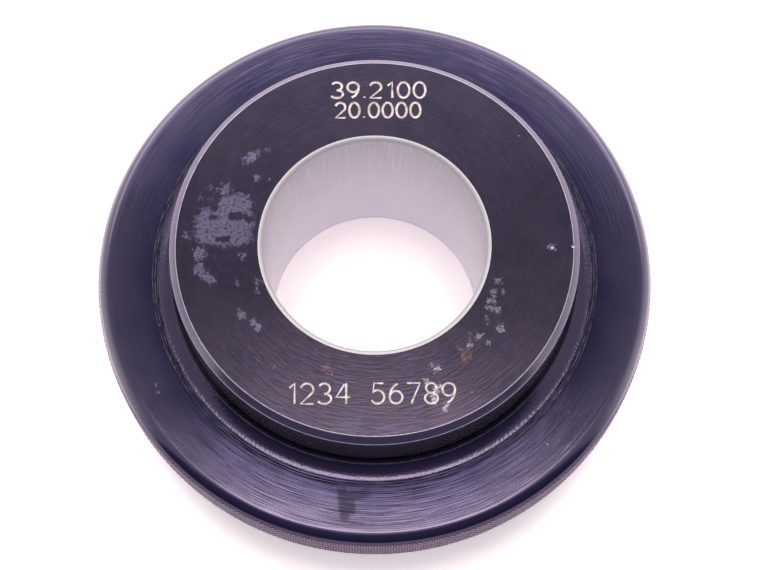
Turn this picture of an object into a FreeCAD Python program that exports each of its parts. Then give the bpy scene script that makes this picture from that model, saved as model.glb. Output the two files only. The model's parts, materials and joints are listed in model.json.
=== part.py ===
import FreeCAD, Part
import os

import Sketcher

# Plain ring gauge, turned from one bar of steel: a hub with a flange round its middle and a lapped
# bore right through. Millimetres. Z is the axis of the bore, and the origin is the middle of the
# lower hub face.

# Driving dimensions: each can be changed by itself.
SIZES = [
    ("bore_dia", 39.21, "gauging bore, the size that the ring exists for"),
    ("bore_mouth_radius", 0.9, "rounding at both mouths of the bore"),
    ("gauge_length", 38.1, "over the two hub faces"),
    ("hub_dia", 72.2, "both ends of the hub"),
    ("hub_chamfer", 1.15, "45 degree chamfer round both hub faces"),
    ("hub_root_radius", 3.2, "hollow corner where the hub meets the flange"),
    ("flange_dia", 101.6, "over the crests of the knurl"),
    ("flange_thickness", 11.1, "between the flange faces, centred on the length"),
    ("rim_radius", 2.4, "rounding at both corners of the rim"),
    ("groove_start", 0.35, "from the end of the hub root to the middle of the first tool groove"),
    ("groove_pitch", 0.45, "from one tool groove to the next"),
    ("groove_width", 0.25, "across the mouth of a tool groove"),
    ("groove_depth", 0.08, "below the upper flange face"),
]
GROOVE_COUNT = 3

# Heights and radii that follow from them, as formulas over the sheet.
BORE_RADIUS = "Sizes.bore_dia / 2"
HUB_RADIUS = "Sizes.hub_dia / 2"
RIM_RADIUS = "Sizes.flange_dia / 2"
FLANGE_LOW = "(Sizes.gauge_length - Sizes.flange_thickness) / 2"
FLANGE_HIGH = "(Sizes.gauge_length + Sizes.flange_thickness) / 2"
ROOT_END = "(Sizes.hub_dia / 2 + Sizes.hub_root_radius)"

START, END = 1, 2
ORIGIN = (-1, START)
NEAR = 1e-4

doc = FreeCAD.newDocument("plain_ring_gauge")


def add_sheet():
    """The sheet of driving dimensions: name, value and meaning, one row each."""
    sheet = doc.addObject("Spreadsheet::Sheet", "Sizes")
    for row, (alias, value, meaning) in enumerate(SIZES, start=1):
        sheet.set(f"A{row}", alias)
        sheet.set(f"B{row}", str(value))
        sheet.set(f"C{row}", meaning)
        sheet.setAlias(f"B{row}", alias)
    doc.recompute()
    return sheet


def add_section(body, name):
    """A sketch in the body's own XZ plane: x is a radius, y is a height."""
    plane = next(item for item in body.Origin.OriginFeatures if item.Role == "XZ_Plane")
    sketch = body.newObject("Sketcher::SketchObject", name)
    sketch.AttachmentSupport = [(plane, "")]
    sketch.MapMode = "FlatFace"
    return sketch


def add_outline(sketch, corners):
    """Closed outline of straight lines, joined end to start. Returns the lines' numbers."""
    points = [FreeCAD.Vector(x, y, 0) for x, y in corners]
    lines = [
        sketch.addGeometry(Part.LineSegment(start, points[(i + 1) % len(points)]), False)
        for i, start in enumerate(points)
    ]
    for i, line in enumerate(lines):
        sketch.addConstraint(Sketcher.Constraint("Coincident", line, END, lines[(i + 1) % len(lines)], START))
    return lines


def bind(sketch, kind, line, point, name, formula):
    """Hold a corner's distance from the origin, along x or y, at a formula over the sheet."""
    reach = sketch.getPoint(line, point)
    value = reach.x if kind == "DistanceX" else reach.y
    number = sketch.addConstraint(Sketcher.Constraint(kind, *ORIGIN, line, point, value))
    sketch.renameConstraint(number, name)
    sketch.setExpression(f"Constraints.{name}", formula)


def turn(body, kind, name, sketch):
    """Turn a section once round the bore's axis, as a solid (Revolution) or a cut (Groove)."""
    feature = body.newObject(f"PartDesign::{kind}", name)
    feature.Profile = sketch
    feature.ReferenceAxis = (sketch, ["V_Axis"])
    feature.Angle = 360
    doc.recompute()
    return feature


def circles_at(feature, radius, heights):
    """Names of the feature's round edges that have this radius and lie at one of these heights."""
    names = []
    for number, edge in enumerate(feature.Shape.Edges, start=1):
        curve = edge.Curve
        if not isinstance(curve, Part.Circle) or abs(curve.Radius - radius) > NEAR:
            continue
        if any(abs(curve.Center.z - height) < NEAR for height in heights):
            names.append(f"Edge{number}")
    if len(names) != len(heights):
        raise RuntimeError(f"{len(names)} edges of radius {radius} found, {len(heights)} wanted")
    return names


def dress(body, kind, name, base, radius, heights, setting, alias):
    """Fillet or chamfer the round edges of one radius, by a size from the sheet."""
    feature = body.newObject(f"PartDesign::{kind}", name)
    feature.Base = (base, circles_at(base, radius, heights))
    feature.setExpression(setting, f"Sizes.{alias}")
    doc.recompute()
    return feature


def make_ring_gauge(sheet):
    """Blank, hollow corners, chamfers, rounded rim, bore mouths, then the tool grooves."""

    def size(alias):
        return float(sheet.get(alias))

    bore_radius = size("bore_dia") / 2
    hub_radius = size("hub_dia") / 2
    rim_radius = size("flange_dia") / 2
    top = size("gauge_length")
    flange_low = (top - size("flange_thickness")) / 2
    flange_high = (top + size("flange_thickness")) / 2

    body = doc.addObject("PartDesign::Body", "RingGauge")
    body.Label = "ring_gauge"

    # Half section of the blank: bore on the left, hub and flange on the right.
    section = add_section(body, "BlankSection")
    bottom, hub_low, under, rim, over, hub_high, face, bore = add_outline(section, [
        (bore_radius, 0), (hub_radius, 0), (hub_radius, flange_low), (rim_radius, flange_low),
        (rim_radius, flange_high), (hub_radius, flange_high), (hub_radius, top), (bore_radius, top),
    ])
    for line in (bottom, under, over, face):
        section.addConstraint(Sketcher.Constraint("Horizontal", line))
    for line in (hub_low, rim, hub_high, bore):
        section.addConstraint(Sketcher.Constraint("Vertical", line))
    section.addConstraint(Sketcher.Constraint("PointOnObject", bottom, START, -1))
    bind(section, "DistanceX", bottom, START, "bore_radius", BORE_RADIUS)
    bind(section, "DistanceX", hub_low, START, "hub_radius_low", HUB_RADIUS)
    bind(section, "DistanceX", hub_high, START, "hub_radius_high", HUB_RADIUS)
    bind(section, "DistanceX", rim, START, "rim_radius", RIM_RADIUS)
    bind(section, "DistanceY", under, START, "flange_low", FLANGE_LOW)
    bind(section, "DistanceY", over, START, "flange_high", FLANGE_HIGH)
    bind(section, "DistanceY", face, START, "top_face", "Sizes.gauge_length")
    doc.recompute()
    shape = turn(body, "Revolution", "Blank", section)

    shape = dress(body, "Fillet", "HubRoots", shape, hub_radius, (flange_low, flange_high),
                  "Radius", "hub_root_radius")
    shape = dress(body, "Chamfer", "HubChamfers", shape, hub_radius, (0, top), "Size", "hub_chamfer")
    shape = dress(body, "Fillet", "RimCorners", shape, rim_radius, (flange_low, flange_high),
                  "Radius", "rim_radius")
    shape = dress(body, "Fillet", "BoreMouths", shape, bore_radius, (0, top),
                  "Radius", "bore_mouth_radius")

    # Fine V grooves that the tool left in the upper flange face, next to the hub root.
    grooves = add_section(body, "ToolGrooveSection")
    half_width = size("groove_width") / 2
    first = hub_radius + size("hub_root_radius") + size("groove_start")
    for i in range(GROOVE_COUNT):
        middle = first + i * size("groove_pitch")
        centre = f"{ROOT_END} + Sizes.groove_start + {i} * Sizes.groove_pitch"
        inner, outer, _mouth = add_outline(grooves, [
            (middle - half_width, flange_high), (middle, flange_high - size("groove_depth")),
            (middle + half_width, flange_high),
        ])
        bind(grooves, "DistanceX", inner, START, f"inner_{i}", f"{centre} - Sizes.groove_width / 2")
        bind(grooves, "DistanceX", outer, START, f"middle_{i}", centre)
        bind(grooves, "DistanceX", outer, END, f"outer_{i}", f"{centre} + Sizes.groove_width / 2")
        bind(grooves, "DistanceY", inner, START, f"inner_height_{i}", FLANGE_HIGH)
        bind(grooves, "DistanceY", outer, START, f"depth_{i}", f"{FLANGE_HIGH} - Sizes.groove_depth")
        bind(grooves, "DistanceY", outer, END, f"outer_height_{i}", FLANGE_HIGH)
    doc.recompute()
    whole = shape.Shape.Volume
    shape = turn(body, "Groove", "ToolGrooves", grooves)
    if not shape.Shape.Volume < whole:
        raise RuntimeError("the tool grooves cut nothing")

    body.Placement = FreeCAD.Placement()
    return body


def check(parts):
    """Stop before anything is written if an object failed or a part isn't one valid solid."""
    for item in doc.Objects:
        if "Invalid" in item.State or "Error" in item.State:
            raise RuntimeError(f"{item.Name} failed: {item.State}")
    for part in parts:
        shape = part.Shape
        if shape.isNull() or not shape.isValid() or len(shape.Solids) != 1:
            raise RuntimeError(f"{part.Label} isn't one valid solid")


def write(parts):
    os.makedirs("parts", exist_ok=True)
    for part in parts:
        part.Shape.exportStep(f"parts/{part.Label}.step")
        box = part.Shape.optimalBoundingBox()
        print(f"{part.Label}: {box.XLength:.2f} x {box.YLength:.2f} x {box.ZLength:.2f} mm, "
              f"{part.Shape.Volume / 1000:.2f} cm3")


parts = [make_ring_gauge(add_sheet())]
doc.recompute()
check(parts)
write(parts)
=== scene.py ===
import json
import math

import bmesh
import bpy
from mathutils import Matrix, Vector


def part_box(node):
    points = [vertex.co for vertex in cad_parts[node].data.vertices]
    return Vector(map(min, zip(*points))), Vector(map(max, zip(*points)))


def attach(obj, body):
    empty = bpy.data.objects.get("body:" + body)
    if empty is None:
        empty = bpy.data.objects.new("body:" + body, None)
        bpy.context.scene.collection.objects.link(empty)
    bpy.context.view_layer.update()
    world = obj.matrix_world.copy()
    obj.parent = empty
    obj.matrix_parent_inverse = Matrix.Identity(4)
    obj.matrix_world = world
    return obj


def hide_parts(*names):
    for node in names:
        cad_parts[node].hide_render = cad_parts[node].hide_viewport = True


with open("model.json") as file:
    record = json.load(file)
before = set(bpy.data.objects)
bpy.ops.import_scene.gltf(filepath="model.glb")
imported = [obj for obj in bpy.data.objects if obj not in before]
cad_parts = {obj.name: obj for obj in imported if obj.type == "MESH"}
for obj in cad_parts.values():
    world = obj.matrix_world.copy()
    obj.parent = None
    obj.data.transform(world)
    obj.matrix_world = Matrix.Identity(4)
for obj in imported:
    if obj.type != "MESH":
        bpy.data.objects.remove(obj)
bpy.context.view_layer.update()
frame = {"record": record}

# Plain ring gauge: one turned piece of black-oxidised tool steel with a diamond knurl on its rim, a
# bright lapped bore and engraved numerals. Metres, Z up, origin at the middle of the lower hub face.

MM = 0.001

# Sizes that the frame gives.
mounts = {mount["name"]: mount for mount in frame["record"]["mounts"]}
box_low, box_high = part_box("ring_gauge")
TOP = box_high.z
MIDDLE = TOP / 2
RIM = box_high.x
BORE = mounts["gauging_bore"]["dims"]["r_mm"] * MM
HUB = mounts["hub_end_top"]["dims"]["r_mm"] * MM

# Sizes of the turned section that the frame doesn't name.
MOUTH_RADIUS = 0.9 * MM
HUB_CHAMFER = 1.15 * MM
ROOT_RADIUS = 3.2 * MM
FLANGE_THICKNESS = 11.1 * MM
RIM_RADIUS = 2.4 * MM
FLANGE_HIGH = MIDDLE + FLANGE_THICKNESS / 2
EDGE_BREAK = 0.22 * MM
# Flat faces end in a strip this wide, which keeps their shading flat up to the rounding beside them.
HOLD = 0.12 * MM
GROOVE_START = 0.35 * MM
GROOVE_PITCH = 0.45 * MM
GROOVE_WIDTH = 0.25 * MM
GROOVE_DEPTH = 0.08 * MM
GROOVE_COUNT = 3

# Steps that each rounding of the section is drawn in.
RIM_STEPS = 10
ROOT_STEPS = 16
BREAK_STEPS = 3
MOUTH_STEPS = 8

# Diamond knurl: teeth round the rim, and cells of one tooth and four quarters stacked over its width.
TEETH = 330
CELLS_HIGH = 5
CELL_STEPS = 4
CELL_HEIGHT = 1.65 * MM
KNURL_DEPTH = 0.3 * MM
CREST_CUT = 0.2
UNEVENNESS = 0.015 * MM
KNURL_SEED = 7
BAND_HALF = CELLS_HIGH * CELL_HEIGHT / 2
STRAIGHT_HALF = FLANGE_THICKNESS / 2 - RIM_RADIUS

SMALL = 1e-6


def linear(hex_colour):
    """Linear RGBA of an sRGB hex colour."""
    channels = [int(hex_colour[i:i + 2], 16) / 255 for i in (1, 3, 5)]
    return [c / 12.92 if c <= 0.04045 else ((c + 0.055) / 1.055) ** 2.4 for c in channels] + [1.0]


def feed(tree, item, inputs):
    """Set a node's inputs, by socket name or number. A node or a socket as the value is linked."""
    for name, value in inputs.items():
        if isinstance(name, int):
            socket = item.inputs[name]
        else:
            socket = next(s for s in item.inputs if s.name == name and s.enabled)
        if isinstance(value, bpy.types.Node):
            value = next(s for s in value.outputs if s.enabled)
        if isinstance(value, bpy.types.NodeSocket):
            tree.links.new(value, socket)
        else:
            socket.default_value = value


def add(tree, kind, inputs=None, **settings):
    """Add one node with its settings and inputs."""
    item = tree.nodes.new(kind)
    for name, value in settings.items():
        setattr(item, name, value)
    feed(tree, item, inputs or {})
    return item


def put_in_scene(name, data):
    """A new object at the origin that shows a mesh, a curve, a lamp or a camera."""
    item = bpy.data.objects.new(name, data)
    bpy.context.scene.collection.objects.link(item)
    return item


# Section of the ring

def arc(centre, radius, start, end, steps):
    """Points of the section on an arc, angles in degrees from straight outwards, both ends included."""
    turns = [math.radians(start + (end - start) * i / steps) for i in range(steps + 1)]
    return [(centre[0] + radius * math.cos(a), centre[1] + radius * math.sin(a)) for a in turns]


def upper_half(grooves):
    """The section from the knurl's edge over the flange and up the hub: a finish for each point,
    which the strip that leads to it has, and the point."""
    corner = (RIM - RIM_RADIUS, FLANGE_HIGH - RIM_RADIUS)
    run_out = math.degrees(math.asin((BAND_HALF - STRAIGHT_HALF) / RIM_RADIUS))
    root = HUB + ROOT_RADIUS
    mouth = BORE + MOUTH_RADIUS
    # The chamfer's two edges are broken by hand, so each is a small rounding, and a flat face beside
    # one ends this far back from the sharp edge.
    back = EDGE_BREAK * math.tan(math.radians(22.5))
    broken_low = arc((HUB - EDGE_BREAK, TOP - HUB_CHAMFER - back), EDGE_BREAK, 0, 45, BREAK_STEPS)
    broken_high = arc((HUB - HUB_CHAMFER - back, TOP - EDGE_BREAK), EDGE_BREAK, 45, 90, BREAK_STEPS)
    flange = [("faced", [(corner[0] - HOLD, FLANGE_HIGH)])]
    for i in reversed(range(grooves)):
        middle = root + GROOVE_START + i * GROOVE_PITCH
        flange += [("faced", [(middle + GROOVE_WIDTH / 2, FLANGE_HIGH)]),
                   ("scored", [(middle, FLANGE_HIGH - GROOVE_DEPTH),
                               (middle - GROOVE_WIDTH / 2, FLANGE_HIGH)])]
    runs = [
        ("rounded", arc(corner, RIM_RADIUS, run_out, 90, RIM_STEPS)[1:]),
        *flange,
        ("faced", [(root + HOLD, FLANGE_HIGH)]),
        ("root", arc((root, FLANGE_HIGH + ROOT_RADIUS), ROOT_RADIUS, 270, 180, ROOT_STEPS)),
        ("turned", [(HUB, FLANGE_HIGH + ROOT_RADIUS + HOLD), (HUB, TOP - HUB_CHAMFER - back - HOLD),
                    (HUB, TOP - HUB_CHAMFER - back)]),
        ("worn", broken_low[1:]),
        ("chamfered", broken_high[:1]),
        ("worn", broken_high[1:]),
        ("ground", [(HUB - HUB_CHAMFER - back - HOLD, TOP), (mouth + HOLD, TOP), (mouth, TOP)]),
        ("mouth", arc((mouth, TOP - MOUTH_RADIUS), MOUTH_RADIUS, 90, 180, MOUTH_STEPS)[1:]),
        ("lapped", [(BORE, TOP - MOUTH_RADIUS - HOLD)]),
    ]
    return [(finish, point) for finish, points in runs for point in points]


def section():
    """The whole section, from the upper edge of the knurl round the ring to the lower edge."""
    upper, lower = upper_half(GROOVE_COUNT), upper_half(0)
    under = [(r, TOP - z) for _finish, (r, z) in reversed(lower)]
    finishes = ["lapped"] + [finish for finish, _point in reversed(lower[1:])]
    return upper + list(zip(finishes, under))


# Knurl

def knurl_cell():
    """One cell of the knurl at angle 0: a whole tooth in its middle and a quarter at each corner."""
    points = []
    for row in range(CELL_STEPS + 1):
        for column in range(CELL_STEPS + 1):
            across = abs(column / CELL_STEPS - 0.5)
            along = abs(row / CELL_STEPS - 0.5)
            pyramid = max(1 - 2 * (across + along), 2 * (across + along) - 1)
            height = min(pyramid / (1 - CREST_CUT), 1)
            angle = column / CELL_STEPS * math.tau / TEETH
            radius = RIM - KNURL_DEPTH * (1 - height)
            points.append((radius * math.cos(angle), radius * math.sin(angle),
                           row / CELL_STEPS * CELL_HEIGHT))
    faces = []
    half = CELL_STEPS // 2
    for row in range(CELL_STEPS):
        for column in range(CELL_STEPS):
            low_left = row * (CELL_STEPS + 1) + column
            low_right, high_left = low_left + 1, low_left + CELL_STEPS + 1
            high_right = high_left + 1
            # The grooves run from the middle of one side of the cell to the middle of the next.
            if (row < half) == (column < half):
                faces += [(low_left, low_right, high_left), (low_right, high_right, high_left)]
            else:
                faces += [(low_left, low_right, high_right), (low_left, high_right, high_left)]
    mesh = bpy.data.meshes.new("knurl_cell")
    mesh.from_pydata(points, [], faces)
    return put_in_scene("knurl_cell", mesh)


def knurl_tree():
    """Cells round the rim and over its width, welded, then run out on the rim's roundings."""
    tree = bpy.data.node_groups.new("diamond_knurl", "GeometryNodeTree")
    sockets = [
        ("Cell", "NodeSocketObject"), ("Teeth", "NodeSocketInt"), ("Cells High", "NodeSocketInt"),
        ("Cell Height", "NodeSocketFloat"), ("Middle", "NodeSocketFloat"),
        ("Rim Radius", "NodeSocketFloat"), ("Rounding", "NodeSocketFloat"),
        ("Straight Half", "NodeSocketFloat"), ("Unevenness", "NodeSocketFloat"),
        ("Seed", "NodeSocketInt"), ("Metal", "NodeSocketMaterial"),
    ]
    for name, kind in sockets:
        tree.interface.new_socket(name=name, in_out="INPUT", socket_type=kind)
    tree.interface.new_socket(name="Band", in_out="OUTPUT", socket_type="NodeSocketGeometry")
    given = add(tree, "NodeGroupInput").outputs

    # One point for each cell, in rows over the rim's width, and the cell turned to it.
    cell = add(tree, "GeometryNodeObjectInfo", {"Object": given["Cell"]}).outputs["Geometry"]
    count = add(tree, "ShaderNodeMath", {0: given["Teeth"], 1: given["Cells High"]}, operation="MULTIPLY")
    index = add(tree, "GeometryNodeInputIndex")
    column = add(tree, "ShaderNodeMath", {0: index, 1: given["Teeth"]}, operation="MODULO")
    turns = add(tree, "ShaderNodeMath", {0: column, 1: math.tau}, operation="MULTIPLY")
    angle = add(tree, "ShaderNodeMath", {0: turns, 1: given["Teeth"]}, operation="DIVIDE")
    rows = add(tree, "ShaderNodeMath", {0: index, 1: given["Teeth"]}, operation="DIVIDE")
    row = add(tree, "ShaderNodeMath", {0: rows}, operation="FLOOR")
    half_rows = add(tree, "ShaderNodeMath", {0: given["Cells High"], 1: 0.5}, operation="MULTIPLY")
    band_half = add(tree, "ShaderNodeMath", {0: half_rows, 1: given["Cell Height"]}, operation="MULTIPLY")
    foot = add(tree, "ShaderNodeMath", {0: given["Middle"], 1: band_half}, operation="SUBTRACT")
    height = add(tree, "ShaderNodeMath", {0: row, 1: given["Cell Height"], 2: foot},
                 operation="MULTIPLY_ADD")
    points = add(tree, "GeometryNodePoints", {
        "Count": count, "Position": add(tree, "ShaderNodeCombineXYZ", {"Z": height})})
    turn = add(tree, "FunctionNodeEulerToRotation", {0: add(tree, "ShaderNodeCombineXYZ", {"Z": angle})})
    cells = add(tree, "GeometryNodeInstanceOnPoints",
                {"Points": points, "Instance": cell, "Rotation": turn})
    real = add(tree, "GeometryNodeRealizeInstances", {"Geometry": cells})
    welded = add(tree, "GeometryNodeMergeByDistance", {"Geometry": real, "Distance": SMALL})

    # Each point's distance from the axis, a little uneven, as the rolling left it.
    place = add(tree, "GeometryNodeInputPosition")
    parts = add(tree, "ShaderNodeSeparateXYZ", {0: place}).outputs
    flat = add(tree, "ShaderNodeCombineXYZ", {"X": parts["X"], "Y": parts["Y"]})
    radius = add(tree, "ShaderNodeVectorMath", {0: flat}, operation="LENGTH")
    uneven = add(tree, "FunctionNodeRandomValue",
                 {"Min": -1.0, "Max": 1.0, "Seed": given["Seed"]}, data_type="FLOAT")
    rolled = add(tree, "ShaderNodeMath", {0: uneven, 1: given["Unevenness"], 2: radius},
                 operation="MULTIPLY_ADD")

    # The rounded blank's own radius at that height, which the knurl never passes.
    above = add(tree, "ShaderNodeMath", {0: parts["Z"], 1: given["Middle"]}, operation="SUBTRACT")
    away = add(tree, "ShaderNodeMath", {0: above}, operation="ABSOLUTE")
    past = add(tree, "ShaderNodeMath", {0: away, 1: given["Straight Half"]}, operation="SUBTRACT")
    past = add(tree, "ShaderNodeMath", {0: past, 1: 0.0}, operation="MAXIMUM")
    past_square = add(tree, "ShaderNodeMath", {0: past, 1: past}, operation="MULTIPLY")
    whole_square = add(tree, "ShaderNodeMath", {0: given["Rounding"], 1: given["Rounding"]},
                       operation="MULTIPLY")
    square = add(tree, "ShaderNodeMath", {0: whole_square, 1: past_square}, operation="SUBTRACT")
    reach = add(tree, "ShaderNodeMath", {0: square}, operation="SQRT")
    centre = add(tree, "ShaderNodeMath", {0: given["Rim Radius"], 1: given["Rounding"]},
                 operation="SUBTRACT")
    blank = add(tree, "ShaderNodeMath", {0: centre, 1: reach}, operation="ADD")
    lowest = add(tree, "ShaderNodeMath", {0: rolled, 1: blank}, operation="MINIMUM")
    share = add(tree, "ShaderNodeMath", {0: lowest, 1: radius}, operation="DIVIDE")
    scaled = add(tree, "ShaderNodeVectorMath", {0: flat, "Scale": share}, operation="SCALE")
    lifted = add(tree, "ShaderNodeVectorMath",
                 {0: scaled, 1: add(tree, "ShaderNodeCombineXYZ", {"Z": parts["Z"]})}, operation="ADD")
    shaped = add(tree, "GeometryNodeSetPosition", {"Geometry": welded, "Position": lifted})
    coated = add(tree, "GeometryNodeSetMaterial", {"Geometry": shaped, "Material": given["Metal"]})
    add(tree, "NodeGroupOutput", {"Band": coated})
    return tree


def knurl_band(metal):
    """The knurled band as a plain mesh."""
    cell = knurl_cell()
    carrier = put_in_scene("knurl_band", bpy.data.meshes.new("knurl_band"))
    modifier = carrier.modifiers.new("knurl", "NODES")
    modifier.node_group = knurl_tree()
    values = {
        "Cell": cell, "Teeth": TEETH, "Cells High": CELLS_HIGH, "Cell Height": CELL_HEIGHT,
        "Middle": MIDDLE, "Rim Radius": RIM, "Rounding": RIM_RADIUS, "Straight Half": STRAIGHT_HALF,
        "Unevenness": UNEVENNESS, "Seed": KNURL_SEED, "Metal": metal,
    }
    for item in modifier.node_group.interface.items_tree:
        if item.in_out == "INPUT":
            modifier[item.identifier] = values[item.name]
    depsgraph = bpy.context.evaluated_depsgraph_get()
    mesh = bpy.data.meshes.new_from_object(carrier.evaluated_get(depsgraph))
    bpy.data.objects.remove(carrier)
    bpy.data.objects.remove(cell)
    return mesh


def edge_ring(points, height):
    """Numbers of the band's points at one height, in order round the axis."""
    ring = [i for i, point in enumerate(points) if abs(point[2] - height) < SMALL]
    if len(ring) != TEETH * CELL_STEPS:
        raise RuntimeError(f"{len(ring)} points on the knurl's edge, {TEETH * CELL_STEPS} wanted")
    half_step = math.pi / len(ring)
    return sorted(ring, key=lambda i: (math.atan2(points[i][1], points[i][0]) + half_step) % math.tau)


def ring_mesh(band, finishes):
    """One closed mesh: the section turned round the axis, joined to the knurled band."""
    points = [tuple(vertex.co) for vertex in band.vertices]
    faces = [tuple(face.vertices) for face in band.polygons]
    kinds = ["knurled"] * len(faces)
    upper_edge = edge_ring(points, MIDDLE + BAND_HALF)
    lower_edge = edge_ring(points, MIDDLE - BAND_HALF)
    outline = section()
    rows = []
    for _finish, (radius, height) in outline:
        rows.append(range(len(points), len(points) + TEETH))
        for i in range(TEETH):
            angle = math.tau * i / TEETH
            points.append((radius * math.cos(angle), radius * math.sin(angle), height))
    for k in range(1, len(rows)):
        for i in range(TEETH):
            j = (i + 1) % TEETH
            faces.append((rows[k - 1][i], rows[k - 1][j], rows[k][j], rows[k][i]))
        kinds += [outline[k][0]] * TEETH
    # One face for each tooth joins the knurl's fine edge to the first and the last ring.
    for i in range(TEETH):
        j = (i + 1) % TEETH
        steps = [(CELL_STEPS * i + n) % len(upper_edge) for n in range(CELL_STEPS + 1)]
        faces.append(tuple(upper_edge[n] for n in steps) + (rows[0][j], rows[0][i]))
        faces.append((rows[-1][i], rows[-1][j]) + tuple(lower_edge[n] for n in reversed(steps)))
        kinds += ["rounded", "rounded"]
    mesh = bpy.data.meshes.new("ring")
    mesh.from_pydata(points, [], faces)
    for metal in finishes.values():
        mesh.materials.append(metal)
    order = list(finishes)
    mesh.polygons.foreach_set("material_index", [order.index(kind) for kind in kinds])
    mesh.validate()
    return mesh


# Numerals, pits and nicks

# An oval stroke has a point about every so many degrees.
BOW_STEP = 20


def bow(x, y, wide, high, start, end):
    """Points on an oval stroke, angles in degrees. A whole turn ends on its first point."""
    steps = max(3, round(abs(end - start) / BOW_STEP))
    turns = [math.radians(start + (end - start) * i / steps) for i in range(steps + 1)]
    return [(x + wide * math.cos(a), y + high * math.sin(a)) for a in turns]


# Strokes of each numeral in the order of cutting. A usual numeral is 0.62 wide and 1 high.
STROKES = {
    "0": [bow(0.31, 0.5, 0.31, 0.5, 0, 360)],
    "1": [[(0.1, 0.78), (0.34, 1), (0.34, 0)]],
    "2": [bow(0.3, 0.7, 0.3, 0.3, 165, -35) + [(0, 0), (0.62, 0)]],
    "3": [bow(0.28, 0.74, 0.27, 0.26, 150, -90), bow(0.28, 0.25, 0.33, 0.25, 90, -150)],
    "4": [[(0.48, 0), (0.48, 1)], [(0.4, 0.96), (0, 0.32), (0.66, 0.32)]],
    "5": [[(0.56, 1), (0.12, 1), (0.06, 0.55)] + bow(0.28, 0.33, 0.32, 0.33, 115, -150)],
    "6": [bow(0.32, 0.31, 0.3, 0.31, 0, 360), bow(0.54, 0.31, 0.52, 0.69, 172, 106)],
    "7": [[(0, 1), (0.62, 1), (0.2, 0)]],
    "8": [bow(0.31, 0.76, 0.25, 0.24, 0, 360), bow(0.31, 0.26, 0.31, 0.26, 0, 360)],
    "9": [bow(0.3, 0.69, 0.3, 0.31, 0, 360), bow(0.08, 0.69, 0.52, 0.69, -8, -74)],
    ".": [[(0.05, 0.0), (0.05, 0.09)]],
}
# No numeral has more strokes, and each layer of the cutter holds one stroke of each numeral, because
# the strokes of one numeral cross.
LAYERS = 2

# Step from one numeral to the next, on the same scale as the strokes.
ADVANCE = {"1": 0.62, ".": 0.34}
USUAL_ADVANCE = 0.84
NUMERAL_WIDTH = 0.62

# Lines of plain numerals: text, left and right end, foot, height, stroke width and depth, in mm.
LINES = [
    ("39.2100", -7.7, 9.3, 27.95, 3.1, 0.5, 0.09),
    ("20.0000", -6.95, 8.35, 24.05, 2.95, 0.5, 0.09),
    ("1234 56789", -14.9, 13.7, -29.15, 3.6, 0.42, 0.08),
]

# Pits in the upper hub face and nicks in its edge: place, width and depth, in mm.
PITS = [
    (31.1, -0.9, 0.95, 0.3),
    (34.85, -0.75, 0.9, 0.35),
    (-31.0, -16.6, 0.45, 0.14),
    (-29.9, -18.4, 0.5, 0.16),
    (-28.3, -20.9, 0.35, 0.12),
    (6.2, 34.6, 0.3, 0.1),
    (11.9, 33.1, 0.4, 0.12),
    (-7.4, -23.9, 0.3, 0.1),
    (25.9, 20.4, 0.25, 0.1),
    (16.5, -27.2, 0.3, 0.1),
]


def ball_radius(width, depth):
    """Radius of the ball that leaves a dish of this width and depth."""
    return (width ** 2 / 4 + depth ** 2) / (2 * depth)


def stroke_cutter(layer):
    """Closed tubes along one stroke of each numeral, sunk in the upper hub face."""
    mesh = bpy.data.meshes.new("strokes")
    for text, left, right, foot, height, width, depth in LINES:
        advances = [ADVANCE.get(letter, USUAL_ADVANCE) for letter in text]
        unit = (right - left) / (sum(advances[:-1]) + NUMERAL_WIDTH)
        ball = ball_radius(width, depth)
        curve = bpy.data.curves.new("strokes", "CURVE")
        curve.dimensions = "3D"
        curve.bevel_depth = ball * MM
        curve.bevel_resolution = 3
        curve.use_fill_caps = True
        x = left
        for letter, advance in zip(text, advances):
            for stroke in STROKES.get(letter, [])[layer:layer + 1]:
                closed = math.dist(stroke[0], stroke[-1]) < SMALL
                points = stroke[:-1] if closed else stroke
                spline = curve.splines.new("POLY")
                spline.points.add(len(points) - 1)
                spline.use_cyclic_u = closed
                for point, (u, v) in zip(spline.points, points):
                    point.co = ((x + u * unit) * MM, (foot + v * height) * MM, TOP + (ball - depth) * MM, 1)
            x += advance * unit
        carrier = put_in_scene("strokes", curve)
        depsgraph = bpy.context.evaluated_depsgraph_get()
        tubes = bpy.data.meshes.new_from_object(carrier.evaluated_get(depsgraph))
        bpy.data.objects.remove(carrier)
        shape = bmesh.new()
        shape.from_mesh(mesh)
        shape.from_mesh(tubes)
        bmesh.ops.remove_doubles(shape, verts=shape.verts, dist=SMALL)
        shape.to_mesh(mesh)
        shape.free()
    return mesh


def pit_cutter():
    """Balls that press the pits and nicks into the upper hub face."""
    shape = bmesh.new()
    for x, y, width, depth in PITS:
        ball = ball_radius(width, depth)
        place = Matrix.Translation((x * MM, y * MM, TOP + (ball - depth) * MM))
        bmesh.ops.create_icosphere(shape, subdivisions=3, radius=ball * MM, matrix=place)
    mesh = bpy.data.meshes.new("pits")
    shape.to_mesh(mesh)
    shape.free()
    return mesh


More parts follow.
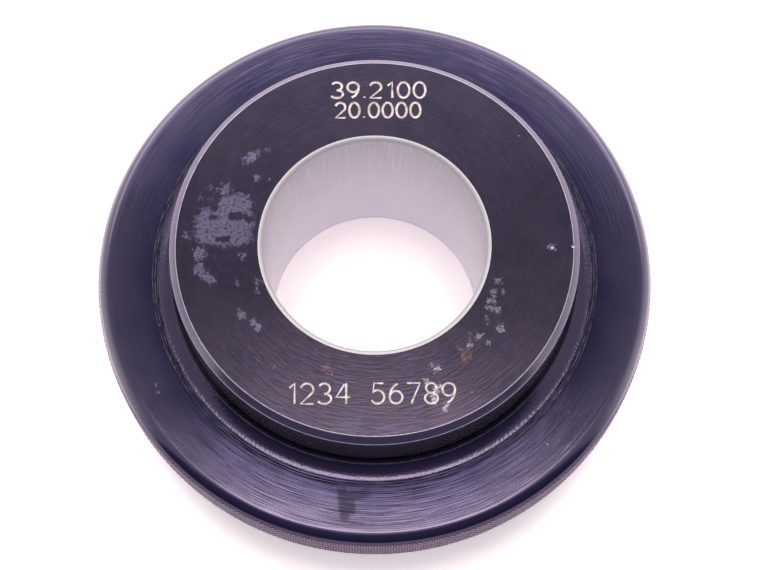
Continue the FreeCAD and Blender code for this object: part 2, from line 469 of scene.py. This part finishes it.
def cut(mesh, cutters):
    """The mesh with each cutter's shape taken out of it. A cutter comes with its finish's number."""
    body = put_in_scene("uncut", mesh)
    blades = []
    for cutter, finish in cutters:
        shape = bmesh.new()
        shape.from_mesh(cutter)
        bmesh.ops.recalc_face_normals(shape, faces=shape.faces)
        shape.to_mesh(cutter)
        shape.free()
        cutter.materials.clear()
        for metal in mesh.materials:
            cutter.materials.append(metal)
        for face in cutter.polygons:
            face.material_index = finish
        blade = put_in_scene("blade", cutter)
        blades.append(blade)
        modifier = body.modifiers.new("cut", "BOOLEAN")
        modifier.operation = "DIFFERENCE"
        modifier.solver = "MANIFOLD"
        modifier.object = blade
    depsgraph = bpy.context.evaluated_depsgraph_get()
    result = bpy.data.meshes.new_from_object(body.evaluated_get(depsgraph))
    for item in [body, *blades]:
        bpy.data.objects.remove(item)
    return result


# Finishes

def steel(name):
    """A metal material: its tree, its shader and places on the piece in millimetres."""
    material = bpy.data.materials.new(name)
    material.use_nodes = True
    tree = material.node_tree
    shader = next(item for item in tree.nodes if item.type == "BSDF_PRINCIPLED")
    shader.inputs["Metallic"].default_value = 1.0
    coordinates = add(tree, "ShaderNodeTexCoord").outputs["Object"]
    place = add(tree, "ShaderNodeVectorMath", {0: coordinates, "Scale": 1 / MM}, operation="SCALE")
    return material, tree, shader, place


def along_section(tree, place):
    """Direction along the turned section, across the tool's lines: the way a highlight spreads."""
    around = add(tree, "ShaderNodeVectorMath", {0: (0, 0, 1), 1: place}, operation="CROSS_PRODUCT")
    normal = add(tree, "ShaderNodeNewGeometry").outputs["Normal"]
    return add(tree, "ShaderNodeVectorMath", {0: normal, 1: around}, operation="CROSS_PRODUCT")


def from_axis(tree, place):
    """Distance from the axis in mm, and the direction from it."""
    flat = add(tree, "ShaderNodeVectorMath", {0: place, 1: (1, 1, 0)}, operation="MULTIPLY")
    radius = add(tree, "ShaderNodeVectorMath", {0: flat}, operation="LENGTH").outputs["Value"]
    direction = add(tree, "ShaderNodeVectorMath", {0: flat}, operation="NORMALIZE")
    return radius, direction


def tool_lines(tree, place, pitch, run):
    """Lines round the axis, as a turning tool leaves them: 0 to 1, a pitch apart and a run long, mm.
    Real ones are too fine to show, so every pitch here is drawn coarser."""
    radius, direction = from_axis(tree, place)
    height = add(tree, "ShaderNodeSeparateXYZ", {0: place}).outputs["Z"]
    reach = add(tree, "ShaderNodeMath", {0: radius, 1: height}, operation="ADD")
    lane = add(tree, "ShaderNodeMath", {0: reach, 1: pitch}, operation="DIVIDE")
    turn = add(tree, "ShaderNodeVectorMath", {0: direction, "Scale": RIM / MM / run}, operation="SCALE")
    spot = add(tree, "ShaderNodeVectorMath", {0: turn, 1: add(tree, "ShaderNodeCombineXYZ", {"Z": lane})},
               operation="ADD")
    return add(tree, "ShaderNodeTexNoise", {"Vector": spot, "Scale": 1.0, "Detail": 2.0}).outputs[0]


# Grain of a patch's ragged edge in mm, how far noise strays from its middle value, and a reach that
# is outside every patch.
TEAR_GRAIN = 0.8
NOISE_STRAY = 0.25
OUTSIDE = 99.0


def nearest_patch(tree, place, patches, ragged):
    """How far out a place lies in the nearest patch: 0 in the patch's middle and 1 at its edge. A patch
    is a rounded block: its middle, width and height in mm, and its turn in degrees, seen from above.
    Its edge is ragged by so many mm."""
    tear = add(tree, "ShaderNodeTexNoise", {
        "Vector": place, "Scale": 1 / TEAR_GRAIN, "Detail": 6.0, "Roughness": 0.75}).outputs["Color"]
    shift = add(tree, "ShaderNodeVectorMath", {0: tear, 1: (0.5, 0.5, 0.5)}, operation="SUBTRACT")
    stretch = ragged / NOISE_STRAY
    torn = add(tree, "ShaderNodeVectorMath", {0: shift, 1: (stretch, stretch, 0), 2: place},
               operation="MULTIPLY_ADD")
    flat = add(tree, "ShaderNodeVectorMath", {0: torn, 1: (1, 1, 0)}, operation="MULTIPLY")
    nearest = OUTSIDE
    for x, y, wide, high, turn in patches:
        spot = add(tree, "ShaderNodeMapping", {
            "Vector": flat, "Location": (x, y, 0), "Rotation": (0, 0, math.radians(turn)),
            "Scale": (wide / 2, high / 2, 1)}, vector_type="TEXTURE")
        square = add(tree, "ShaderNodeVectorMath", {0: spot, 1: spot}, operation="MULTIPLY")
        reach = add(tree, "ShaderNodeVectorMath", {0: square, 1: square}, operation="DOT_PRODUCT")
        nearest = add(tree, "ShaderNodeMath", {0: reach.outputs["Value"], 1: nearest}, operation="MINIMUM")
    return nearest


def marked(tree, place, colour, patches, ragged, gaps, grain, pale, dark):
    """The colour with marks over it, on the upper faces alone. A grain of so many mm opens gaps in
    them, more where gaps is higher, and gives them their pale and dark spots."""
    gap_edge = 0.12
    nearest = nearest_patch(tree, place, patches, ragged)
    cover = add(tree, "ShaderNodeMapRange", {"Value": nearest, "From Min": 1.0, "From Max": 0.5})
    fine = add(tree, "ShaderNodeTexNoise",
               {"Vector": place, "Scale": 1 / grain, "Detail": 5.0, "Roughness": 0.75}).outputs[0]
    broken = add(tree, "ShaderNodeMapRange", {"Value": fine, "From Min": gaps, "From Max": gaps + gap_edge})
    cover = add(tree, "ShaderNodeMath", {0: cover, 1: broken}, operation="MULTIPLY")
    height = add(tree, "ShaderNodeSeparateXYZ", {0: place}).outputs["Z"]
    above = add(tree, "ShaderNodeMath", {0: height, 1: MIDDLE / MM}, operation="GREATER_THAN")
    cover = add(tree, "ShaderNodeMath", {0: cover, 1: above}, operation="MULTIPLY")
    deposit = add(tree, "ShaderNodeMix", {"Factor": fine, "A": linear(dark), "B": linear(pale)},
                  data_type="RGBA")
    return add(tree, "ShaderNodeMix", {"Factor": cover, "A": colour, "B": deposit}, data_type="RGBA")


def turned_oxide():
    """Turned tool steel, black oxidised: blue-black and glossy, with fine lines round the axis."""
    material, tree, shader, place = steel("turned_black_oxide_steel")
    lines = tool_lines(tree, place, pitch=0.3, run=25)
    clouds = add(tree, "ShaderNodeTexNoise", {"Vector": place, "Scale": 1 / 6, "Detail": 3.0})
    colour = add(tree, "ShaderNodeMix", {
        "Factor": clouds.outputs[0], "A": linear("#4d475c"), "B": linear("#5b5364")}, data_type="RGBA")
    feed(tree, shader, {
        "Base Color": colour,
        "Metallic": 0.7,
        "Roughness": add(tree, "ShaderNodeMapRange", {"Value": lines, "To Min": 0.16, "To Max": 0.24}),
        "Anisotropic": 0.5,
        "Tangent": along_section(tree, place),
        "Normal": add(tree, "ShaderNodeBump", {"Strength": 1.0, "Distance": 0.002 * MM, "Height": lines}),
    })
    return material


def root_oxide():
    """Hollow corner that a round-nosed tool left with chatter: the turned finish with small dents."""
    material, tree, shader, place = steel("turned_black_oxide_root")
    chatter = add(tree, "ShaderNodeTexNoise", {"Vector": place, "Scale": 1 / 0.5, "Detail": 2.0})
    clouds = add(tree, "ShaderNodeTexNoise", {"Vector": place, "Scale": 1 / 5, "Detail": 3.0})
    colour = add(tree, "ShaderNodeMix", {
        "Factor": clouds.outputs[0], "A": linear("#3b354a"), "B": linear("#484156")}, data_type="RGBA")
    feed(tree, shader, {
        "Base Color": colour,
        "Roughness": add(tree, "ShaderNodeMapRange",
                         {"Value": chatter.outputs[0], "To Min": 0.1, "To Max": 0.26}),
        "Normal": add(tree, "ShaderNodeBump",
                      {"Strength": 1.0, "Distance": 0.04 * MM, "Height": chatter.outputs[0]}),
    })
    return material


# A painted dark reflection and specks on the upper flange face, as nearest_patch takes them.
PAINTED_REFLECTION_PATCHES = [(-5.5, -43.6, 2.0, 6.0, 6), (-3.4, -42.0, 5.0, 1.9, 14), (-4.4, -44.2, 1.9, 2.4, 0)]
FLANGE_SPECKS = [
    (-38.5, -5.1, 0.3, 0.66, 10), (-39.9, -6.2, 0.3, 0.3, 0), (-39.0, -10.6, 0.36, 0.36, 0),
    (-37.8, -14.6, 0.36, 0.3, 0), (-36.7, -16.9, 0.3, 0.42, 30), (-35.9, -18.6, 0.36, 0.54, 30),
    (-35.0, -20.2, 0.3, 0.36, 0), (-39.1, -21.9, 0.42, 0.72, 0), (-38.6, -23.2, 0.6, 0.48, 0),
    (39.3, -0.4, 0.3, 0.54, 0), (38.9, -7.9, 0.3, 0.36, 0), (36.1, -18.6, 0.42, 0.48, 20),
    (34.4, -20.9, 0.42, 0.36, 0), (33.0, -23.3, 0.48, 0.6, -30), (31.9, -24.9, 0.36, 0.42, 0),
    (34.3, -27.1, 0.3, 0.48, 0), (30.4, -33.0, 0.3, 0.36, 0),
]


def faced_oxide():
    """Faced flange, black oxidised: blue-black with a painted highlight, paler outwards, and a highlight
    that the tool's lines draw out. A painted dark reflection dulls it at the front, and a painted highlight
    band lies paler along its outer edge."""
    material, tree, shader, place = steel("faced_black_oxide_steel")
    lines = tool_lines(tree, place, pitch=0.2, run=26)
    radius, _direction = from_axis(tree, place)
    clouds = add(tree, "ShaderNodeTexNoise", {"Vector": place, "Scale": 1 / 9, "Detail": 3.0}).outputs[0]
    # Paler towards the rim, which is a painted highlight, and cloudy.
    painted_highlight_and_clouds = add(tree, "ShaderNodeMapRange", {
        "Value": radius, "From Min": (HUB + ROOT_RADIUS) / MM, "From Max": (RIM - RIM_RADIUS) / MM,
        "To Min": -0.3, "To Max": 0.55})
    painted_highlight_and_clouds = add(tree, "ShaderNodeMath", {0: clouds, 1: 0.6, 2: painted_highlight_and_clouds}, operation="MULTIPLY_ADD")
    colour = add(tree, "ShaderNodeMix", {
        "Factor": painted_highlight_and_clouds, "A": linear("#222038"), "B": linear("#453f54")}, data_type="RGBA")
    # A painted dark reflection at the front.
    painted_reflection_reach = nearest_patch(tree, place, PAINTED_REFLECTION_PATCHES, ragged=0.3)
    painted_reflection_share = add(tree, "ShaderNodeMapRange",
               {"Value": painted_reflection_reach, "From Min": 1.6, "From Max": 0.1, "To Max": 0.75})
    colour = add(tree, "ShaderNodeMix", {"Factor": painted_reflection_share, "A": colour, "B": linear("#181521")},
                 data_type="RGBA")
    colour = marked(tree, place, colour, FLANGE_SPECKS, ragged=0.15, gaps=0.25, grain=0.3,
                    pale="#6b6478", dark="#4c4658")
    # A painted highlight band along the outer edge.
    painted_highlight_band = add(tree, "ShaderNodeMapRange", {
        "Value": radius, "From Min": (RIM - RIM_RADIUS) / MM - 0.4, "From Max": (RIM - RIM_RADIUS) / MM})
    colour = add(tree, "ShaderNodeMix", {
        "Factor": painted_highlight_band, "A": colour, "B": linear("#474256")}, data_type="RGBA")
    feed(tree, shader, {
        "Base Color": colour,
        "Roughness": add(tree, "ShaderNodeMapRange", {"Value": lines, "To Min": 0.08, "To Max": 0.2}),
        "Anisotropic": 0.3,
        "Tangent": along_section(tree, place),
        "Normal": add(tree, "ShaderNodeBump", {"Strength": 1.0, "Distance": 0.055 * MM, "Height": lines}),
    })
    return material


def rounded_oxide():
    """Corner of the rim, polished by handling: glossy. A painted reflection makes its outer part pale grey
    nearly all round but leaves it dark at the front. Where the rounding starts, painted shade makes it
    darkest, over a faint painted highlight band."""
    material, tree, shader, place = steel("hand_polished_black_oxide_steel")
    radius, direction = from_axis(tree, place)
    # A faint painted highlight band where the rounding starts.
    painted_highlight_band = add(tree, "ShaderNodeMapRange", {
        "Value": radius, "From Min": (RIM - 0.7 * RIM_RADIUS) / MM, "From Max": (RIM - RIM_RADIUS) / MM})
    colour = add(tree, "ShaderNodeMix", {
        "Factor": painted_highlight_band, "A": linear("#464059"), "B": linear("#5c5568")}, data_type="RGBA")
    outwards = add(tree, "ShaderNodeMapRange", {
        "Value": radius, "From Min": (RIM - 0.88 * RIM_RADIUS) / MM,
        "From Max": (RIM - 0.2 * RIM_RADIUS) / MM})
    # Painted reflection: pale grey outwards at the sides and back, dark at the front.
    painted_reflection_sides = add(tree, "ShaderNodeMapRange", {
        "Value": add(tree, "ShaderNodeSeparateXYZ", {0: direction}).outputs["Y"],
        "From Min": -0.72, "From Max": -0.3}, interpolation_type="SMOOTHSTEP")
    worn = add(tree, "ShaderNodeMath", {0: outwards, 1: painted_reflection_sides}, operation="MULTIPLY")
    colour = add(tree, "ShaderNodeMix", {
        "Factor": worn, "A": colour, "B": linear("#9d95a2")}, data_type="RGBA")
    # Painted shade, darkest where the rounding starts.
    painted_shade_start = add(tree, "ShaderNodeMapRange", {
        "Value": radius, "From Min": (RIM - 0.75 * RIM_RADIUS) / MM, "From Max": (RIM - RIM_RADIUS) / MM})
    colour = add(tree, "ShaderNodeMix", {
        "Factor": painted_shade_start, "A": colour, "B": linear("#3f3950")}, data_type="RGBA")
    clouds = add(tree, "ShaderNodeTexNoise", {"Vector": place, "Scale": 1 / 2, "Detail": 2.0})
    feed(tree, shader, {
        "Base Color": colour,
        "Roughness": add(tree, "ShaderNodeMapRange",
                         {"Value": clouds.outputs[0], "To Min": 0.1, "To Max": 0.2}),
    })
    return material


def chamfered_oxide():
    """Chamfer of the hub, worn through to a thin grey oxide: paler than the faces beside it."""
    material, tree, shader, place = steel("rubbed_black_oxide_chamfer")
    lines = tool_lines(tree, place, pitch=0.2, run=10)
    colour = add(tree, "ShaderNodeMix", {
        "Factor": lines, "A": linear("#6e6779"), "B": linear("#80798b")}, data_type="RGBA")
    feed(tree, shader, {
        "Base Color": colour,
        "Roughness": add(tree, "ShaderNodeMapRange", {"Value": lines, "To Min": 0.16, "To Max": 0.28}),
    })
    return material


def worn_steel():
    """Edge broken by hand and worn bright: grey steel with remains of the oxide."""
    material, tree, shader, place = steel("worn_bare_edge")
    wear = add(tree, "ShaderNodeTexNoise", {"Vector": place, "Scale": 1 / 1.2, "Detail": 3.0})
    colour = add(tree, "ShaderNodeMix", {
        "Factor": wear.outputs[0], "A": linear("#837a8c"), "B": linear("#c5bdc8")}, data_type="RGBA")
    feed(tree, shader, {"Base Color": colour, "Roughness": 0.35})
    return material


def scored_steel():
    """Groove that the tool's corner left in the flange: torn, so it glitters in short bright lines."""
    material, tree, shader, place = steel("scored_bare_groove")
    lines = tool_lines(tree, place, pitch=0.15, run=3)
    torn = add(tree, "ShaderNodeMapRange", {"Value": lines, "From Min": 0.35, "From Max": 0.65})
    colour = add(tree, "ShaderNodeMix", {
        "Factor": torn, "A": linear("#332e40"), "B": linear("#777081")}, data_type="RGBA")
    feed(tree, shader, {"Base Color": colour, "Roughness": 0.5})
    return material


# Marks on the upper hub face, as nearest_patch takes them: dried film with bare holes in it, pale
# specks of corrosion and a little rust.
FILM_PATCHES = [
    (-26.4, 3.3, 11.0, 8.0, -2), (-24.6, 7.6, 6.4, 3.2, 5), (-22.0, 16.4, 2.9, 1.8, 30),
    (-20.7, 17.3, 0.5, 1.2, -25), (-19.0, 17.7, 0.9, 0.5, -20), (-20.9, 12.4, 1.0, 0.9, 30),
    (-18.6, 12.2, 0.6, 0.9, -15), (-26.3, 10.3, 1.9, 2.0, 0), (-29.1, 10.7, 0.4, 1.1, 20),
    (-28.0, 9.9, 0.4, 1.4, -25), (-30.9, 8.7, 0.6, 0.8, 0), (-33.1, 1.4, 1.1, 1.3, 0),
    (-30.5, -1.9, 2.2, 2.6, 0), (-30.7, -4.8, 1.7, 2.3, 0), (-29.2, -6.3, 3.4, 1.7, -38),
    (-23.1, -2.4, 1.0, 1.7, 0), (-20.5, -8.1, 0.5, 3.0, 0), (-24.0, -7.2, 0.35, 1.4, 25),
    (-28.0, -2.3, 0.4, 0.9, -40), (-23.2, -13.0, 1.1, 2.0, 35), (-20.6, -15.2, 1.2, 2.8, 35),
]
FILM_HOLES = [
    (-24.4, 5.1, 2.8, 1.8, 0), (-28.3, 6.7, 1.7, 1.3, -20), (-28.4, 4.9, 1.7, 1.0, 0),
    (-22.4, 4.7, 2.4, 1.3, -25), (-26.6, 0.8, 2.6, 1.3, 0), (-32.0, 5.8, 2.8, 1.3, 0),
    (-28.6, -1.6, 1.4, 2.6, 0), (-22.0, 2.6, 2.2, 0.25, 0), (-21.2, 0.2, 1.6, 0.4, 0),
]
SPECK_PATCHES = [
    (21.5, -7.2, 1.4, 1.2, 0), (20.7, -9.4, 1.0, 1.6, 0), (22.4, -9.1, 0.6, 0.9, 0),
    (20.1, -11.5, 1.5, 2.4, -25), (21.2, -12.5, 1.6, 1.2, 20), (19.4, -14.3, 1.1, 1.4, 30),
    (21.7, -15.7, 1.2, 1.5, 0), (17.8, -17.3, 1.3, 0.8, 30), (19.6, -18.3, 1.2, 0.8, 30),
    (16.3, -18.6, 0.8, 1.3, -30), (14.5, -19.5, 1.1, 0.5, -15), (9.9, -22.2, 1.2, 0.6, 25),
    (10.5, -23.2, 1.4, 0.7, 30), (8.8, -25.2, 1.6, 0.8, -15), (10.9, -26.6, 1.6, 1.4, 30),
    (10.0, -28.2, 1.0, 2.4, 10), (11.9, -30.0, 1.0, 1.6, 0), (-29.4, 3.1, 0.35, 0.35, 0),
    (-19.9, -7.1, 0.4, 0.8, 0), (-17.4, -22.6, 0.4, 0.4, 0), (-25.0, -27.6, 0.3, 0.3, 0),
    (31.1, -0.9, 1.5, 1.3, 0),
]
RUST_PATCHES = [
    (16.4, -17.2, 0.9, 1.4, 0), (15.6, -20.6, 1.9, 3.0, -20), (-8.3, -23.0, 1.6, 1.4, 0),
    (-28.9, 8.4, 1.2, 0.8, 0),
]


def ground_oxide():
    """Ground hub face, black oxidised: short curved grinding marks over brown and blue-grey clouds."""
    material, tree, shader, place = steel("ground_black_oxide_steel")
    lines = tool_lines(tree, place, pitch=0.4, run=5)
    mottle = add(tree, "ShaderNodeTexNoise", {"Vector": place, "Scale": 1 / 7, "Detail": 5.0}).outputs[0]
    colour = add(tree, "ShaderNodeMix", {
        "Factor": mottle, "A": linear("#262634"), "B": linear("#3f3544")}, data_type="RGBA")
    hue = add(tree, "ShaderNodeTexNoise", {"Vector": place, "Scale": 1 / 1.5, "Detail": 3.0}).outputs[0]
    tinge = add(tree, "ShaderNodeMapRange",
                {"Value": hue, "From Min": 0.5, "From Max": 0.75, "To Max": 0.5})
    colour = add(tree, "ShaderNodeMix", {"Factor": tinge, "A": colour, "B": linear("#393550")},
                 data_type="RGBA")
    hole = nearest_patch(tree, place, FILM_HOLES, ragged=0.7)
    bare = add(tree, "ShaderNodeMapRange", {"Value": hole, "From Min": 1.0, "From Max": 0.5})
    filmed = marked(tree, place, colour, FILM_PATCHES, ragged=1.2, gaps=0.36, grain=0.5,
                    pale="#756c84", dark="#49425c")
    colour = add(tree, "ShaderNodeMix", {"Factor": bare, "A": filmed, "B": colour}, data_type="RGBA")
    colour = marked(tree, place, colour, RUST_PATCHES, ragged=0.8, gaps=0.36, grain=0.9,
                    pale="#584348", dark="#41333c")
    colour = marked(tree, place, colour, SPECK_PATCHES, ragged=0.9, gaps=0.4, grain=0.9,
                    pale="#857e8e", dark="#4d4757")
    feed(tree, shader, {
        "Base Color": colour,
        "Roughness": add(tree, "ShaderNodeMapRange", {"Value": lines, "To Min": 0.14, "To Max": 0.25}),
        "Anisotropic": 0.4,
        "Tangent": along_section(tree, place),
        "Normal": add(tree, "ShaderNodeBump", {"Strength": 1.0, "Distance": 0.017 * MM, "Height": lines}),
    })
    return material


def knurled_oxide():
    """Rolled knurl, black oxidised: worn grey by hands on its crests, dark and dirty in its grooves."""
    material, tree, shader, place = steel("knurled_black_oxide_steel")
    grime = add(tree, "ShaderNodeTexNoise", {"Vector": place, "Scale": 1 / 3, "Detail": 4.0}).outputs[0]
    radius, _direction = from_axis(tree, place)
    # The crests are worn bare over their last few hundredths of a millimetre.
    worn_down = 0.03
    crest = add(tree, "ShaderNodeMapRange", {
        "Value": radius, "From Min": (RIM - KNURL_DEPTH) / MM, "From Max": RIM / MM - worn_down})
    crest = add(tree, "ShaderNodeMath", {0: crest, 1: 1.5}, operation="POWER")
    worn = add(tree, "ShaderNodeMix", {
        "Factor": grime, "A": linear("#b2a6b9"), "B": linear("#d8cad6")}, data_type="RGBA")
    colour = add(tree, "ShaderNodeMix", {
        "Factor": crest, "A": linear("#2b2633"), "B": worn}, data_type="RGBA")
    # The dark tint keeps the band from turning white where it is seen at a slant.
    feed(tree, shader, {"Base Color": colour, "Roughness": 0.5, "Specular Tint": (0.3, 0.27, 0.3, 1)})
    return material


def mouth_steel():
    """Mouth of the bore, rounded with an abrasive stone: bare and matt, with a painted highlight that
    makes it paler towards the bore.
    """
    material, tree, shader, place = steel("stoned_bare_steel")
    grain = add(tree, "ShaderNodeTexNoise", {"Vector": place, "Scale": 1 / 0.5, "Detail": 3.0})
    colour = add(tree, "ShaderNodeMix", {
        "Factor": grain.outputs[0], "A": linear("#aaa3ad"), "B": linear("#c9c2c9")}, data_type="RGBA")
    height = add(tree, "ShaderNodeSeparateXYZ", {0: place}).outputs["Z"]
    # Painted highlight: paler towards the bore.
    painted_highlight_inwards = add(tree, "ShaderNodeMapRange", {
        "Value": height, "From Min": (TOP - 0.3 * MOUTH_RADIUS) / MM,
        "From Max": (TOP - MOUTH_RADIUS) / MM})
    colour = add(tree, "ShaderNodeMix", {
        "Factor": painted_highlight_inwards, "A": colour, "B": linear("#e2dbe3")}, data_type="RGBA")
    feed(tree, shader, {"Base Color": colour, "Metallic": 0.3, "Roughness": 0.5})
    return material


def lapped_steel():
    """Bare tool steel, lapped to size: bright and faintly misty, with a painted reflection that is paler
    towards the bottom and greyer towards the upper mouth, and faint scratches along the bore that
    gauging left."""
    material, tree, shader, place = steel("lapped_bare_steel")
    haze = add(tree, "ShaderNodeTexNoise", {"Vector": place, "Scale": 1 / 6, "Detail": 3.0})
    height = add(tree, "ShaderNodeSeparateXYZ", {0: place}).outputs["Z"]
    # Painted reflection: paler towards the bottom, greyer towards the upper mouth.
    painted_reflection_fade = add(tree, "ShaderNodeMapRange", {"Value": height, "From Min": 0.0, "From Max": TOP / MM})
    colour = add(tree, "ShaderNodeMix", {
        "Factor": painted_reflection_fade, "A": linear("#d7d6de"), "B": linear("#a3a0ab")}, data_type="RGBA")
    drawn_out = add(tree, "ShaderNodeVectorMath", {0: place, 1: (1, 1, 0.04)}, operation="MULTIPLY")
    scratch = add(tree, "ShaderNodeTexNoise", {"Vector": drawn_out, "Scale": 1 / 0.4, "Detail": 1.0})
    scratch = add(tree, "ShaderNodeMapRange", {
        "Value": scratch.outputs[0], "From Min": 0.58, "From Max": 0.74, "To Max": 0.2})
    colour = add(tree, "ShaderNodeMix", {
        "Factor": scratch, "A": colour, "B": linear("#e4e1e8")}, data_type="RGBA")
    feed(tree, shader, {
        "Base Color": colour,
        "Roughness": add(tree, "ShaderNodeMapRange",
                         {"Value": haze.outputs[0], "To Min": 0.18, "To Max": 0.32}),
    })
    return material


def engraved_steel():
    """Bottom of an engraved stroke, cut through the oxide into bare steel: pale and scratchy."""
    material, tree, shader, place = steel("engraved_bare_steel")
    scratch = add(tree, "ShaderNodeTexNoise", {"Vector": place, "Scale": 1 / 0.8, "Detail": 4.0})
    tan = add(tree, "ShaderNodeMapRange", {"Value": scratch.outputs[0], "From Min": 0.35, "From Max": 0.6})
    colour = add(tree, "ShaderNodeMix", {
        "Factor": tan, "A": linear("#b09a8e"), "B": linear("#dad2d5")}, data_type="RGBA")
    feed(tree, shader, {"Base Color": colour, "Metallic": 0.4, "Roughness": 0.6})
    return material


# Stage

def seen_directly(tree):
    """1 for what the camera sees, also by a mirror or through glass, and 0 for lighting."""
    path = add(tree, "ShaderNodeLightPath").outputs
    seen = add(tree, "ShaderNodeMath", {0: path["Is Camera Ray"], 1: path["Is Glossy Ray"]},
               operation="ADD")
    return add(tree, "ShaderNodeMath", {0: seen, 1: path["Is Transmission Ray"]}, operation="ADD")


def make_floor():
    """Plain pale table top."""
    half = 1.5
    mesh = bpy.data.meshes.new("floor")
    mesh.from_pydata([(-half, -half, 0), (half, -half, 0), (half, half, 0), (-half, half, 0)], [],
                     [(0, 1, 2, 3)])
    floor = put_in_scene("floor", mesh)
    material = bpy.data.materials.new("white_table")
    material.use_nodes = True
    tree = material.node_tree
    shader = next(item for item in tree.nodes if item.type == "BSDF_PRINCIPLED")
    # To the eye the floor is twice as bright as it lights the object, so it is white past the shadow,
    # and metal shows it nearly white too.
    to_eye, in_metal = 2.2, 0.45
    path = add(tree, "ShaderNodeLightPath").outputs
    gain = add(tree, "ShaderNodeMapRange",
               {"Value": path["Is Camera Ray"], "To Min": 1.0, "To Max": to_eye})
    colour = add(tree, "ShaderNodeVectorMath", {0: linear("#f4ebf0")[:3], "Scale": gain}, operation="SCALE")
    mirrored = add(tree, "ShaderNodeMath",
                   {0: path["Is Glossy Ray"], 1: path["Is Transmission Ray"]}, operation="ADD")
    lift = add(tree, "ShaderNodeMath", {0: mirrored, 1: in_metal}, operation="MULTIPLY")
    feed(tree, shader, {
        "Base Color": colour, "Roughness": 0.8,
        "Emission Color": linear("#fff0fa"), "Emission Strength": lift,
    })
    mesh.materials.append(material)


def make_screen():
    """A dark curved screen behind the camera, which glossy steel shows as its blue-black side."""
    reach, side, step = 0.8, 65, 13
    points, faces = [], []
    azimuths = [math.radians(turn - 90) for turn in range(-side, side + 1, step)]
    rises = [math.radians(rise) for rise in (2, 12, 24, 36, 48, 60, 68)]
    for rise in rises:
        for azimuth in azimuths:
            points.append((reach * math.cos(rise) * math.cos(azimuth),
                           reach * math.cos(rise) * math.sin(azimuth), reach * math.sin(rise)))
    for row in range(len(rises) - 1):
        for column in range(len(azimuths) - 1):
            first = row * len(azimuths) + column
            faces.append((first, first + 1, first + len(azimuths) + 1, first + len(azimuths)))
    mesh = bpy.data.meshes.new("dark_screen")
    mesh.from_pydata(points, [], faces)
    material = bpy.data.materials.new("dark_screen")
    material.use_nodes = True
    tree = material.node_tree
    shader = next(item for item in tree.nodes if item.type == "BSDF_PRINCIPLED")
    place = add(tree, "ShaderNodeTexCoord").outputs["Object"]
    height = add(tree, "ShaderNodeSeparateXYZ", {0: place}).outputs["Z"]
    share = add(tree, "ShaderNodeMapRange", {"Value": height, "From Min": 0.1, "From Max": 0.7})
    colour = add(tree, "ShaderNodeMix", {
        "Factor": share, "A": linear("#5d5b7b"), "B": linear("#9a96b2")}, data_type="RGBA")
    feed(tree, shader, {
        "Base Color": (0, 0, 0, 1), "Roughness": 1.0,
        "Emission Color": colour, "Emission Strength": 1.0,
    })
    mesh.materials.append(material)
    screen = put_in_scene("dark_screen", mesh)
    # Only reflections show it.
    screen.visible_camera = False
    screen.visible_diffuse = False
    screen.visible_shadow = False


def make_light():
    """Even white surroundings, a small bright panel nearly overhead and a large dim one behind."""
    world = bpy.data.worlds.new("studio")
    bpy.context.scene.world = world
    world.use_nodes = True
    tree = world.node_tree
    background = next(item for item in tree.nodes if item.type == "BACKGROUND")
    lighting, to_eye = 0.65, 1.0
    level = add(tree, "ShaderNodeMapRange",
                {"Value": seen_directly(tree), "To Min": lighting, "To Max": to_eye})
    feed(tree, background, {"Color": (1, 1, 1, 1), "Strength": level})

    warm, white = (1, 0.91, 0.74), (1, 1, 1)
    make_panel("overhead_panel", rise=86.5, wide=0.38, high=0.28, radiance=9.0, colour=warm)
    make_panel("back_panel", rise=41, wide=1.6, high=0.86, radiance=1.8, colour=white)


def make_panel(name, rise, wide, high, radiance, colour):
    """A soft panel a metre away on the far side of the object, so many degrees above the table."""
    panel = bpy.data.lights.new(name, "AREA")
    panel.shape = "RECTANGLE"
    panel.size = wide
    panel.size_y = high
    panel.color = colour
    panel.energy = radiance * math.pi * wide * high
    lamp = put_in_scene(name, panel)
    lamp.location = (0, math.cos(math.radians(rise)), math.sin(math.radians(rise)))
    lamp.rotation_euler = (math.radians(rise - 90), 0, 0)


def make_camera():
    """The photograph's view, fitted to the ring's round edges."""
    data = bpy.data.cameras.new("view")
    data.sensor_width = 36
    data.lens = 82.498
    data.clip_start = 0.01
    camera = put_in_scene("view", data)
    camera.location = (0, -0.107543, 0.323831)
    camera.rotation_euler = [math.radians(turn) for turn in (19.2349, -0.0966, -0.2524)]
    bpy.context.scene.camera = camera


def make_ring():
    """The ring with its numerals, pits and finishes, in the place of the solid."""
    finishes = {
        "turned": turned_oxide(), "root": root_oxide(), "faced": faced_oxide(),
        "rounded": rounded_oxide(), "chamfered": chamfered_oxide(), "ground": ground_oxide(),
        "worn": worn_steel(), "scored": scored_steel(), "mouth": mouth_steel(),
        "lapped": lapped_steel(), "knurled": knurled_oxide(), "engraved": engraved_steel(),
    }
    order = list(finishes)
    cutters = [(stroke_cutter(layer), order.index("engraved")) for layer in range(LAYERS)]
    cutters.append((pit_cutter(), order.index("worn")))
    mesh = cut(ring_mesh(knurl_band(finishes["knurled"]), finishes), cutters)
    mesh.name = "ring_gauge_body"
    for face in mesh.polygons:
        face.use_smooth = face.material_index != order.index("knurled")
    mesh.set_sharp_from_angle(angle=math.radians(30))
    ring = put_in_scene("ring_gauge_body", mesh)
    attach(ring, "root")
    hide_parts("ring_gauge")


make_ring()
make_floor()
make_screen()
make_light()
make_camera()
bpy.context.scene.view_settings.view_transform = "Standard"
